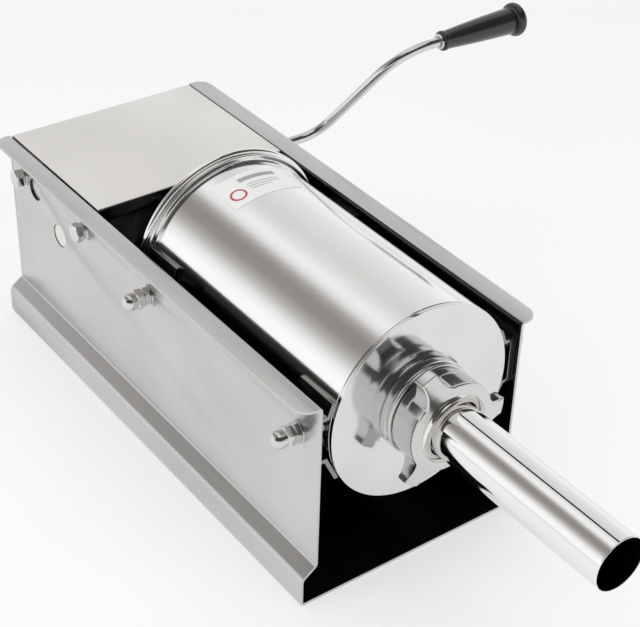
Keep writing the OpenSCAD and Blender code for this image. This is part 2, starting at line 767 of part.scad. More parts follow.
module crank_rod() color("silver") in_crank_plane() {
    cut1 = bend1_r * tan(arm_deg / 2);
    cut2 = bend2_r * tan(arm_deg / 2);
    arm = sqrt(crank_r * crank_r + crank_run * crank_run);
    straight_bar(shaft_reach + 2.2, bend_x - cut1, 0, bar_lap);
    translate([bend_x - cut1, 0, 0]) bent_bar(bend1_r, arm_deg);
    translate([bend_x, 0, 0]) rotate([0, 0, arm_deg])
        straight_bar(cut1, arm - cut2, bar_lap, bar_lap);
    translate([bend_x + crank_run, crank_r, 0]) {
        rotate([0, 0, arm_deg]) translate([-cut2, 0, 0])
            mirror([0, 1, 0]) bent_bar(bend2_r, arm_deg);
        straight_bar(cut2, rod_end - bend_x - crank_run, bar_lap, 0);
    }
}

// Washers that keep the grip on the rod: a collar at each end
module grip_washers() color("silver") in_crank_plane()
    for (x = [grip_x - part_gap - 2, grip_x + grip_len + part_gap])
        translate([x, crank_r, 0]) rotate([0, 90, 0]) ring(rod_r + 2.2, rod_r + run_gap, 2);

module crank_grip() color("black") in_crank_plane()
    translate([grip_x, crank_r, 0]) rotate([0, 90, 0]) rotate_extrude() difference() {
        union() {
            polygon([
                [0, 0], [grip_d0 / 2 - 0.6, 0], [grip_d0 / 2, 1.2], [grip_d0 / 2, 3.4],
                [grip_d0 / 2 - 0.6, 4], [grip_d1 / 2, grip_len - 12],
                [grip_d1 / 2 - 1, grip_len - 10], [0, grip_len - 10]]);
            translate([0, grip_len - 10 - eps])
                square([grip_flange_r - 4, 10 + eps]);
            translate([grip_flange_r - 4.5, grip_len - 5.5]) circle(r = 4.5);
        }
        translate([0, -1]) square([rod_r + 0.1, grip_len + 2]);
    }

body_shell();
gearbox_cover();
cover_screws();
gearbox_front_plate();
gearbox_rear_plate();
left_bearing_plate();
right_bearing_plate();
gearbox_bolts();
gearbox_washers();
spring_washers();
gearbox_nuts();
wall_bushes();
plate_bushes();
rack_slide_block();
rack_guide();
guide_screws();
front_left_clip();
front_right_clip();
rear_left_clip();
rear_right_clip();
clip_bolts();
clip_washers();
clip_jam_nuts();
dome_nuts();
meat_cylinder();
cylinder_end_disc();
outlet_spout();
tube_gasket();
filling_tube();
ring_nut();
piston_front_plate();
piston_seal();
piston_back_plate();
piston_nut();
air_valve();
rack();
pinion_shaft();
rack_pinion();
large_gear();
pinion_shaft_collars();
crank_shaft();
crank_gear();
crank_shaft_collar();
crank_hub();
thumb_screw();
crank_rod();
grip_washers();
crank_grip();
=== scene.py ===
"""Horizontal sausage stuffer: finished pieces, studio and camera, laid out as an add-on.

Every piece is in metres in the CAD frame: the body's underside is z = 0, the filling tube points
along -Y and the crank stands on the +X side.
"""

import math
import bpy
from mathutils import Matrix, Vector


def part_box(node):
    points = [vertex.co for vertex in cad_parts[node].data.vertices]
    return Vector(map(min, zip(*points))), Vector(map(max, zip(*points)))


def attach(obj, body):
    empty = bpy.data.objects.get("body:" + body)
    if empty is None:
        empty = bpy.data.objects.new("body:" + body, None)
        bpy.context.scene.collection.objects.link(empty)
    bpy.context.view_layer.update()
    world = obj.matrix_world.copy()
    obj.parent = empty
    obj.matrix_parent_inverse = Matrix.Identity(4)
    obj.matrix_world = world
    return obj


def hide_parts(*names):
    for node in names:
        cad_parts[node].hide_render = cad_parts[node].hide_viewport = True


bl_info = {
    "name": "Sausage stuffer",
    "version": (1, 0, 0),
    "blender": (4, 5, 0),
    "location": "3D View > Sidebar > Stuffer",
    "description": "Builds the finished pieces of a horizontal sausage stuffer",
    "category": "Object",
}

import bpy
from bpy.props import FloatProperty, FloatVectorProperty, IntProperty, PointerProperty
from mathutils import Matrix, Vector

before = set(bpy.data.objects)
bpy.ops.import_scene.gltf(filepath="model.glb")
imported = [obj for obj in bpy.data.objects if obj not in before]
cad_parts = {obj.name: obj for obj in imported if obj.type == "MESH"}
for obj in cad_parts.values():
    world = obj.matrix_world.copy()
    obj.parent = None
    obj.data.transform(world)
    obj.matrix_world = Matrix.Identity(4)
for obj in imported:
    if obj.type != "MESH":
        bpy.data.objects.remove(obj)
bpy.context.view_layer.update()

MM = 0.001
POLE = 2e-6  # radius that stands for a point on a lathe's axis
SAME = 1e-5  # two places this close are one
MERGE = 1e-6
FINE = 1e-7
LONG_RUN = 6 * MM
SUPPORT = 0.3 * MM
NOISE_SPREAD = (0.3, 0.7)  # where most of a noise's values lie
BOLT_HOLE = 4.1 * MM
BUSH_HOLE = 9.25 * MM
WASHER_R = 7.75 * MM
RIGHTWARD = Vector((1, 0, 0))
RIGHT, LEFT, FRONT, BACK = "right", "left", "front", "back"
TURN = {
    RIGHT: (0, math.pi / 2, 0),
    LEFT: (0, -math.pi / 2, 0),
    FRONT: (math.pi / 2, 0, 0),
    BACK: (-math.pi / 2, 0, 0),
}


def span(node):
    """Lowest corner, highest corner and middle of a CAD node."""
    low, high = (Vector(v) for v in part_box(node))
    return low, high, (low + high) / 2


SHELL_LOW, SHELL_HIGH, _ = span("body_shell")
CYL_LOW, CYL_HIGH, _ = span("meat_cylinder")
DISC_LOW, DISC_HIGH, DISC_MID = span("cylinder_end_disc")
TUBE_LOW, TUBE_HIGH, _ = span("filling_tube")
SPOUT_LOW, _, _ = span("outlet_spout")
PINION_LOW, _, PINION_MID = span("pinion_shaft")
CRANK_MID = span("crank_shaft")[2]
GRIP_LOW, GRIP_HIGH, GRIP_MID = span("crank_grip")
COVER_LOW, COVER_HIGH, _ = span("gearbox_cover")
AXIS_Z = DISC_MID.z
DISC_FACE = DISC_LOW.y
WALL_OUT = -PINION_LOW.x


# Modelling helpers


def mode(kind):
    bpy.ops.object.mode_set(mode=kind)


def deselect():
    if bpy.context.object and bpy.context.object.mode != "OBJECT":
        mode("OBJECT")
    bpy.ops.object.select_all(action="DESELECT")


def pick(obj):
    deselect()
    obj.select_set(True)
    bpy.context.view_layer.objects.active = obj
    return obj


def settle(obj):
    """Puts the object's place and turn into its mesh."""
    pick(obj)
    bpy.ops.object.transform_apply(location=True, rotation=True, scale=True)
    return obj


def place(obj, facing, at):
    """Turns a piece made along +Z to face a direction, and moves its foot to a point."""
    obj.rotation_euler = TURN[facing] if isinstance(facing, str) else facing
    obj.location = at
    return settle(obj)


def modify(obj, kind, **values):
    """Adds one modifier and applies it."""
    pick(obj)
    modifier = obj.modifiers.new(kind.title(), kind)
    for key, value in values.items():
        setattr(modifier, key, value)
    bpy.ops.object.modifier_apply(modifier=modifier.name)
    return obj


def soften(obj, width, segments=2, angle=30):
    return modify(
        obj, "BEVEL", width=width, segments=segments, limit_method="ANGLE",
        angle_limit=math.radians(angle), harden_normals=False,
    )


def edit_all(obj, *steps):
    """Runs edit-mode operators on the whole mesh."""
    pick(obj)
    mode("EDIT")
    bpy.ops.mesh.select_all(action="SELECT")
    for step, values in steps:
        step(**values)
    mode("OBJECT")
    return obj


def close_up(obj, distance):
    """Merges doubles and turns all faces outwards."""
    return edit_all(
        obj,
        (bpy.ops.mesh.remove_doubles, {"threshold": distance}),
        (bpy.ops.mesh.normals_make_consistent, {"inside": False}),
    )


def supported(path):
    """Adds a ring close to each end of a long straight run, so that it is shaded straight."""
    out = [path[0]]
    for (r0, h0), (r1, h1) in zip(path, path[1:]):
        length = math.hypot(r1 - r0, h1 - h0)
        if length > LONG_RUN and max(r0, r1) > LONG_RUN:
            for share in (SUPPORT / length, 1 - SUPPORT / length):
                out.append((r0 + (r1 - r0) * share, h0 + (h1 - h0) * share))
        out.append((r1, h1))
    return out


def turned(profile, segments, loop=True):
    """Lathe work along +Z: a circle extruded ring by ring through (radius, height) points."""
    deselect()
    path = supported(profile + (profile[:1] if loop else []))
    radius, height = path[0]
    radius = max(radius, POLE)
    bpy.ops.mesh.primitive_circle_add(vertices=segments, radius=radius, location=(0, 0, height))
    obj = bpy.context.object
    mode("EDIT")
    bpy.ops.mesh.select_all(action="SELECT")
    for next_radius, next_height in path[1:]:
        next_radius = max(next_radius, POLE)
        bpy.ops.mesh.extrude_region_move(
            TRANSFORM_OT_translate={"value": (0, 0, next_height - height)})
        scale = next_radius / radius
        if abs(scale - 1) > FINE:
            bpy.ops.transform.resize(
                value=(scale, scale, 1), center_override=(0, 0, next_height))
        radius, height = next_radius, next_height
    mode("OBJECT")
    settle(obj)
    return close_up(obj, 3 * POLE)


def arc(centre, radius, start, end, steps):
    """Points of a profile's round corner, angles in degrees in the (radius, height) plane."""
    points = []
    for i in range(steps + 1):
        angle = math.radians(start + (end - start) * i / steps)
        points.append((centre[0] + radius * math.cos(angle), centre[1] + radius * math.sin(angle)))
    return points


def from_node(node, edge, segments=2):
    """A copy of a CAD node, merged, with its sharp edges broken."""
    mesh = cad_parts[node].data.copy()
    mesh.materials.clear()
    obj = bpy.data.objects.new(node + "_finished", mesh)
    bpy.context.scene.collection.objects.link(obj)
    pick(obj)
    if mesh.has_custom_normals:
        bpy.ops.mesh.customdata_custom_splitnormals_clear()
    edit_all(
        obj,
        (bpy.ops.mesh.remove_doubles, {"threshold": MERGE}),
        (bpy.ops.mesh.dissolve_limited, {"angle_limit": math.radians(0.6)}),
    )
    if edge:
        soften(obj, edge * MM, segments)
    return obj


def join(objects):
    deselect()
    for obj in objects:
        obj.select_set(True)
    bpy.context.view_layer.objects.active = objects[0]
    bpy.ops.object.join()
    return bpy.context.object


def copy_at(obj, facing, at, turn=0.0):
    """An own copy of a piece made along +Z, spun about its axis, turned and moved into place."""
    twin = bpy.data.objects.new("copy", obj.data.copy())
    bpy.context.scene.collection.objects.link(twin)
    if turn:
        twin.rotation_euler = (0, 0, turn)
        settle(twin)
    return place(twin, facing, at)


def discard(*objects):
    for obj in objects:
        bpy.data.objects.remove(obj, do_unlink=True)


def block(size, at, rotation):
    deselect()
    bpy.ops.mesh.primitive_cube_add(size=1, location=at, rotation=rotation)
    bpy.context.object.scale = size
    return settle(bpy.context.object)


def cut(obj, tool, operation="DIFFERENCE"):
    """Boolean with a tool that is thrown away."""
    modify(obj, "BOOLEAN", object=tool, operation=operation, solver="EXACT")
    discard(tool)
    return obj


def dress(obj, *finishes):
    for finish in finishes:
        obj.data.materials.append(FINISH[finish])


def hand_over(obj, name, body, finish, nodes=(), angle=35):
    """Names a finished piece, gives it its finish and body, and hides the nodes it stands for."""
    obj.name = name
    obj.data.name = name
    if not obj.data.materials:
        dress(obj, finish)
    pick(obj)
    bpy.ops.object.shade_smooth_by_angle(angle=math.radians(angle))
    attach(obj, body)
    if nodes:
        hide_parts(*nodes)
    return obj


# Materials


class Nodes:
    """Adds wired nodes to a node tree."""

    def __init__(self, tree):
        self.nodes, self.links = tree.nodes, tree.links

    def add(self, kind, inputs=(), **values):
        node = self.nodes.new(kind)
        for key, value in values.items():
            setattr(node, key, value)
        self.feed(node, dict(inputs))
        return node

    def feed(self, node, inputs):
        """Each input is given as a value or as the socket that feeds it."""
        for key, value in inputs.items():
            if isinstance(value, bpy.types.NodeSocket):
                self.links.new(value, node.inputs[key])
            else:
                node.inputs[key].default_value = value


class Finish(Nodes):
    """Small builder for one procedural material."""

    def __init__(self, name):
        old = bpy.data.materials.get(name)
        if old:
            bpy.data.materials.remove(old)
        self.material = bpy.data.materials.new(name)
        self.material.use_nodes = True
        super().__init__(self.material.node_tree)
        self.shader = self.nodes["Principled BSDF"]
        self.coords = self.add("ShaderNodeTexCoord").outputs["Object"]

    def noise(self, scale, detail=3.0, rough=0.5):
        """Noise whose grain is 1 / scale long along each axis, in metres."""
        mapping = self.add("ShaderNodeMapping", {"Scale": scale, "Vector": self.coords})
        return self.add("ShaderNodeTexNoise", {
            "Vector": mapping.outputs["Vector"], "Scale": 1.0, "Detail": detail,
            "Roughness": rough}).outputs["Fac"]

    def rings(self, centre, pitch):
        """Noise that only changes along Y and away from a Y axis, as turning marks do."""
        mapping = self.add("ShaderNodeMapping", {
            "Location": (-centre[0], 0, -centre[2]), "Vector": self.coords})
        split = self.add("ShaderNodeSeparateXYZ", {"Vector": mapping.outputs["Vector"]}).outputs
        radial = self.add("ShaderNodeCombineXYZ", {"X": split["X"], "Y": split["Z"]})
        length = self.add(
            "ShaderNodeVectorMath", {0: radial.outputs["Vector"]}, operation="LENGTH")
        both = self.add("ShaderNodeCombineXYZ", {"X": length.outputs["Value"], "Y": split["Y"]})
        return self.add("ShaderNodeTexNoise", {
            "Vector": both.outputs["Vector"], "Scale": 1 / pitch, "Detail": 3.0}).outputs["Fac"]

    def blend(self, value, dark, light):
        ramp = self.add("ShaderNodeValToRGB", {"Fac": value})
        for element, stop, colour in zip(ramp.color_ramp.elements, NOISE_SPREAD, (dark, light)):
            element.position = stop
            element.color = (*colour, 1)
        self.feed(self.shader, {"Base Color": ramp.outputs["Color"]})

    def roughness(self, value, low, high):
        start, end = NOISE_SPREAD
        node = self.add("ShaderNodeMapRange", {
            "Value": value, "From Min": start, "From Max": end, "To Min": low, "To Max": high})
        self.feed(self.shader, {"Roughness": node.outputs["Result"]})

    def bump(self, value, strength, distance):
        node = self.add(
            "ShaderNodeBump", {"Strength": strength, "Distance": distance, "Height": value})
        self.feed(self.shader, {"Normal": node.outputs["Normal"]})

    def set(self, **values):
        self.feed(self.shader, {key.replace("_", " "): value for key, value in values.items()})
        return self


def tint(colour, factor):
    return tuple(min(1.0, c * factor) for c in colour)


def brushed_sheet(name, colour, grain, rough, strength=0.12):
    """Brushed stainless sheet; grain is the Mapping scale, small along the brushing."""
    finish = Finish(name).set(Metallic=1.0)
    lines = finish.noise(grain, 4.0, 0.6)
    cloud = finish.noise((14, 9, 14), 2.0)
    finish.blend(cloud, tint(colour, 0.93), tint(colour, 1.04))
    finish.roughness(lines, rough * 0.8, rough * 1.25)
    finish.bump(lines, strength, 0.0002)
    return finish.material


def polished(name, colour, rough, centre, pitch=0.0009, strength=0.03):
    """Mirror-polished turned steel with faint marks round its axis."""
    finish = Finish(name).set(Metallic=1.0)
    marks = finish.rings(centre, pitch)
    cloud = finish.noise((22, 6, 22), 2.0)
    finish.blend(cloud, tint(colour, 0.96), tint(colour, 1.03))
    finish.roughness(marks, rough * 0.75, rough * 1.3)
    finish.bump(marks, strength, 0.0001)
    return finish.material


def mottled(name, colour, rough, grain, strength, depth, metallic=0.0, spread=0.1, **values):
    """Cast, moulded or rubber surface with a fine even grain."""
    finish = Finish(name).set(Metallic=metallic, **values)
    fine = finish.noise((grain, grain, grain), 4.0, 0.6)
    cloud = finish.noise((40, 40, 40), 3.0)
    finish.blend(cloud, tint(colour, 1 - spread), tint(colour, 1 + spread))
    finish.roughness(fine, rough * 0.8, rough * 1.2)
    finish.bump(fine, strength, depth)
    return finish.material


def make_finishes(look):
    along = (1100, 14, 1100)
    upright = (1100, 1100, 18)
    crosswise = (16, 1000, 1000)
    axis = (0, 0, AXIS_Z)
    return {
        "body": brushed_sheet("outer_sheet_brushed", look.sheet, along, 0.30),
        # Painted shade: a near-black copy of the brushed sheet for the body's inside and the
        # cover's underside, which are steel as light as the outside
        "painted_shade": brushed_sheet("inner_sheet_painted_shade", look.painted_shade, along, 0.22, 0.05),
        "cover": brushed_sheet("cover_sheet_satin", look.cover, crosswise, 0.33, 0.08),
        # Painted shade: a near-black copy of the plate steel for the gearbox plates, not a dark
        # metal
        "plate": brushed_sheet("gearbox_plate_painted_shade", look.painted_shade, upright, 0.3, 0.08),
        "tab": brushed_sheet("gearbox_plate_light", look.sheet, upright, 0.34, 0.08),
        "bore": polished("tube_bore_shaded", (0.05, 0.05, 0.05), 0.3, axis),
        "clip": brushed_sheet("spring_clip_steel", look.clip, along, 0.14, 0.04),
        "cylinder": polished("cylinder_mirror", look.mirror, 0.13, axis),
        "disc": polished("end_disc_mirror", look.disc, 0.11, axis, 0.0012, 0.02),
        "tube": polished("tube_mirror", look.mirror, 0.07, axis, 0.0008, 0.02),
        "spout": polished("spout_turned", look.cast, 0.16, axis, 0.0005, 0.12),
        "cast": mottled("ring_nut_cast", look.cast, 0.16, 700, 0.08, 0.0003, 1.0, 0.04),
        "chrome": mottled(
            "fastener_bright", look.fastener, 0.12, 1500, 0.05, 0.0001, 1.0, 0.05),
        "rod": mottled("round_bar_bright", look.rod, 0.14, 900, 0.04, 0.0001, 1.0, 0.04),
        "gear": mottled("gear_steel_cut", look.gear, 0.3, 1300, 0.15, 0.0002, 1.0, 0.08),
        "rubber": mottled("seal_rubber_black", (0.018, 0.018, 0.018), 0.6, 2500, 0.2, 0.0002),
        "nylon": mottled(
            "bush_nylon_white", (0.86, 0.86, 0.83), 0.42, 1200, 0.08, 0.0002, spread=0.03),
        "grip": mottled(
            "grip_plastic_black", look.grip, 0.22, 900, 0.1, 0.0002,
            Coat_Weight=0.35, Coat_Roughness=0.12),
        "label": mottled(
            "label_film_white", (0.86, 0.86, 0.86), 0.32, 600, 0.02, 0.0001, spread=0.01),
        "label_line": mottled("label_line_grey", (0.35, 0.35, 0.35), 0.4, 600, 0.02, 0.0001),
        "label_dot": mottled("label_dot_red", (0.52, 0.04, 0.04), 0.4, 600, 0.02, 0.0001),
    }


FINISH = {}


# Sizes and colours


def colour_property(name, of_what, *default):
    return FloatVectorProperty(
        name=name, description=f"Colour of {of_what}", default=default, min=0, max=1, size=3,
        subtype="COLOR")


def length_property(name, description, default, low, high):
    return FloatProperty(
        name=name, description=description, default=default, min=low, max=high, unit="LENGTH")


def angle_property(name, description, degrees):
    return FloatProperty(
        name=name, description=description, default=math.radians(degrees), subtype="ANGLE")


class StufferSizes(bpy.types.PropertyGroup):
    """Sizes of the details that are finished here."""

    sheet: length_property(
        "Sheet thickness", "Thickness of the body's sheet", 0.002, 0.001, 0.003)
    cover_sheet: length_property(
        "Cover thickness", "Thickness of the gearbox cover's sheet", 0.0015, 0.001, 0.003)
    bend: length_property(
        "Outer bend radius", "Radius on the outside of the sheet's bends", 0.003, 0.0022, 0.005)
    edge: length_property(
        "Edge break", "Rounding of the sheet's cut edges", 0.0003, 0.0001, 0.0006)
    thread_pitch: length_property(
        "Thread pitch", "Pitch of the outlet's thread", 0.004, 0.003, 0.005)
    smoothness: IntProperty(
        name="Lathe segments", description="Segments round the large turned pieces",
        default=160, min=64, max=256)


class StufferLook(bpy.types.PropertyGroup):
    """Colours of the finishes."""

    sheet: colour_property("Outer sheet", "the body's outside", 0.62, 0.612, 0.605)
    # Painted shade: near-black colour for the body's inside, the cover's underside and the gearbox
    # plates, which are the same steel as the outside
    painted_shade: colour_property("Inner sheet", "the body's inside", 0.07, 0.068, 0.066)
    cover: colour_property("Cover", "the gearbox cover", 0.87, 0.857, 0.838)
    clip: colour_property("Clips", "the spring clips", 0.30, 0.29, 0.28)
    mirror: colour_property("Polished steel", "the cylinder and tube", 0.88, 0.872, 0.862)
    disc: colour_property("End disc", "the cylinder's end disc", 0.74, 0.737, 0.735)
    cast: colour_property("Cast steel", "the ring nut", 0.66, 0.65, 0.64)
    fastener: colour_property("Fasteners", "bolts and nuts", 0.70, 0.69, 0.68)
    rod: colour_property("Round bar", "the shafts and crank rod", 0.68, 0.67, 0.66)
    gear: colour_property("Gears", "the gears and rack", 0.45, 0.445, 0.44)
    grip: colour_property("Grip", "the crank's grip", 0.018, 0.018, 0.02)


class StufferStage(bpy.types.PropertyGroup):
    """The studio and the camera."""

    floor_size: length_property("Floor size", "Side of the floor", 9.0, 2, 30)
    azimuth: angle_property("Azimuth", "Camera's direction round the object", -36.87)
    elevation: angle_property("Elevation", "Camera's angle above the horizon", 34.39)
    roll: angle_property("Roll", "Camera's turn about its line of sight", 1.85)
    lens: FloatProperty(
        name="Focal length", description="Camera's lens in millimetres", default=90.78, min=35,
        max=200)


# Pieces


class StufferOperator:
    """What the operators share: each can be undone and run again from the panel."""

    bl_options = {"REGISTER", "UNDO"}


def select_where(obj, kind, parts, test):
    """Opens edit mode with only the vertices or edges that pass the test selected."""
    pick(obj)
    mode("EDIT")
    bpy.ops.mesh.select_mode(type=kind)
    bpy.ops.mesh.select_all(action="DESELECT")
    mode("OBJECT")
    for part in parts:
        part.select = test(part)
    mode("EDIT")


def bent_strip(path, y0, y1):
    """An edge along Y, extruded through the (x, z) points of a bent sheet."""
    (x, z), *rest = path
    deselect()
    bpy.ops.mesh.primitive_plane_add(size=1, location=(0, 0, 0))
    obj = bpy.context.object
    for vertex, y in zip(obj.data.vertices[:2], (y0, y1)):
        vertex.co = (x, y, z)
    select_where(obj, "VERT", obj.data.vertices, lambda vertex: vertex.index > 1)
    bpy.ops.mesh.delete(type="VERT")
    bpy.ops.mesh.select_all(action="SELECT")
    for next_x, next_z in rest:
        bpy.ops.mesh.extrude_region_move(
            TRANSFORM_OT_translate={"value": (next_x - x, 0, next_z - z)})
        x, z = next_x, next_z
    mode("OBJECT")
    return obj


def bend_edges(obj, spots, radius, segments=5):
    """Rounds the lengthwise bends whose (x, z) is in spots."""
    def bend(edge):
        a, b = (obj.data.vertices[i].co for i in edge.vertices)
        lengthwise = abs(a.x - b.x) < MERGE and abs(a.z - b.z) < MERGE
        return lengthwise and any(abs(a.x - x) < SAME and abs(a.z - z) < SAME for x, z in spots)

    select_where(obj, "EDGE", obj.data.edges, bend)
    bpy.ops.mesh.bevel(offset=radius, segments=segments, affect="EDGES")
    mode("OBJECT")


def bolt_places():
    """Y of the clips' bolts, Y of the gearbox's bolts and the height of the latter."""
    low, high, mid = span("gearbox_washers")
    clips = [span(node)[2].y for node in ("front_right_clip", "rear_right_clip")]
    return clips, [low.y + WASHER_R, high.y - WASHER_R], mid.z


def drill(obj, holes, x1):
    """Cuts round holes along X up to x1. Each hole is (y, z, radius, x0)."""
    tools = []
    for y, z, radius, x0 in holes:
        deselect()
        bpy.ops.mesh.primitive_cylinder_add(
            vertices=64, radius=radius, depth=x1 - x0, location=((x0 + x1) / 2, y, z),
            rotation=TURN[RIGHT])
        tools.append(settle(bpy.context.object))
    return cut(obj, join(tools))


class STUFFER_OT_body(StufferOperator, bpy.types.Operator):
    """Bends the body from one sheet, drills its walls and rounds the flange corners"""

    bl_idname = "stuffer.body"
    bl_label = "Body"

    def execute(self, context):
        sizes = context.scene.stuffer_sizes
        t = sizes.sheet
        flange, y1, top = SHELL_HIGH
        wall = WALL_OUT
        foot = wall + 11 * MM
        foot_h, shoulder = 23 * MM, 8 * MM
        path = [
            (0, 0), (foot, 0), (foot, foot_h), (wall, foot_h + shoulder), (wall, top - t),
            (flange, top - t)]
        obj = bent_strip(path, SHELL_LOW.y, y1)
        bend_edges(obj, path[1:3], sizes.bend)
        bend_edges(obj, path[3:5], sizes.bend - t)
        select_where(
            obj, "VERT", obj.data.vertices,
            lambda v: abs(v.co.x - flange) < SAME and abs(abs(v.co.y) - y1) < SAME)
        bpy.ops.mesh.bevel(offset=11 * MM, segments=10, affect="VERTICES")
        mode("OBJECT")
        modify(obj, "MIRROR", use_axis=(True, False, False), merge_threshold=SAME)
        close_up(obj, MERGE)
        low_face = min(obj.data.polygons, key=lambda p: p.center.z)
        inward = 1.0 if low_face.normal.z > 0 else -1.0
        modify(
            obj, "SOLIDIFY", thickness=t, offset=inward, use_even_offset=True,
            use_quality_normals=True)
        clip_y, bolt_y, bolt_z = bolt_places()
        holes = [(y, AXIS_Z, BOLT_HOLE, -foot) for y in clip_y]
        holes += [(y, bolt_z, BOLT_HOLE, -foot) for y in bolt_y]
        holes += [
            (PINION_MID.y, PINION_MID.z, BUSH_HOLE, -foot),
            (PINION_MID.y + 36.5 * MM, PINION_MID.z + 22.5 * MM, 8.85 * MM, -foot),
            (CRANK_MID.y, CRANK_MID.z, BUSH_HOLE, 0.02)]
        drill(obj, holes, foot)
        soften(obj, sizes.edge, 2, 40)
        # The inside faces, the floor and the rims of the wall holes take the near-black second
        # finish: painted shade inside the box
        dress(obj, "body", "painted_shade")
        for face in obj.data.polygons:
            c, n = face.center, face.normal
            inward = n.x * c.x < -abs(c.x) * 0.2 or (n.z > 0.5 and c.z < 2 * t)
            inside = inward and abs(c.x) < foot - t * 0.6 and t * 0.6 < c.z < top - t * 0.4
            in_wall = wall - t < abs(c.x) < wall and foot_h + shoulder < c.z < top - 2 * t
            hole_rim = abs(n.x) < 0.3 and in_wall
            dark = (inside or hole_rim) and abs(c.y) < y1 - 0.5 * MM
            face.material_index = 1 if dark else 0
        hand_over(obj, "body_sheet", "body", "body", ["body_shell"], 40)
        return {"FINISHED"}


class STUFFER_OT_cover(StufferOperator, bpy.types.Operator):
    """Bends the gearbox cover and makes its screws"""

    bl_idname = "stuffer.cover"
    bl_label = "Gearbox cover"

    def execute(self, context):
        sizes = context.scene.stuffer_sizes
        t = sizes.cover_sheet
        x0, y0, low = COVER_LOW
        x1, y1, high = COVER_HIGH
        corners = [(y0, high), (y1, high)]
        obj = bent_strip([(y0, low), *corners, (y1, low)], -x1, -x0)
        bend_edges(obj, corners, 2.2 * MM)
        place(obj, (0, 0, math.pi / 2), (0, 0, 0))
        top_face = max(obj.data.polygons, key=lambda p: p.area)
        outward = -1.0 if top_face.normal.z > 0 else 1.0
        modify(obj, "SOLIDIFY", thickness=t, offset=outward, use_even_offset=True)
        soften(obj, sizes.edge * 0.8, 2, 40)
        dress(obj, "cover", "painted_shade")
        # The underside and the front end face take the near-black second finish: painted shade
        # under the cover
        for face in obj.data.polygons:
            under = face.center.z < high - t * 0.6 and face.center.y < y1 - t
            if under or (face.normal.y < -0.9 and face.center.y < y0 + t):
                face.material_index = 1
        hand_over(
            obj, "cover_sheet", "body", "cover", ["gearbox_cover"], 40)
        low, high, mid = span("cover_screws")
        head = turned([
            (0, 0), (3.6 * MM, 0), (3.6 * MM, 0.9 * MM), (3.2 * MM, 1.6 * MM), (2.2 * MM, 2.1 * MM),
            (0, 2.2 * MM)], 48, False)
        for angle in (0, math.pi / 2):
            cut(head, block((4.2 * MM, 0.8 * MM, 2.4 * MM), (0, 0, 2.2 * MM), (0, 0, angle)))
        heads = [
            copy_at(head, BACK, (x, y1 + 0.1 * MM, mid.z))
            for x in (low.x + 3.6 * MM, high.x - 3.6 * MM)]
        discard(head)
        screws = join(heads)
        hand_over(screws, "cover_screw_heads", "body", "chrome", ["cover_screws"])
        return {"FINISHED"}


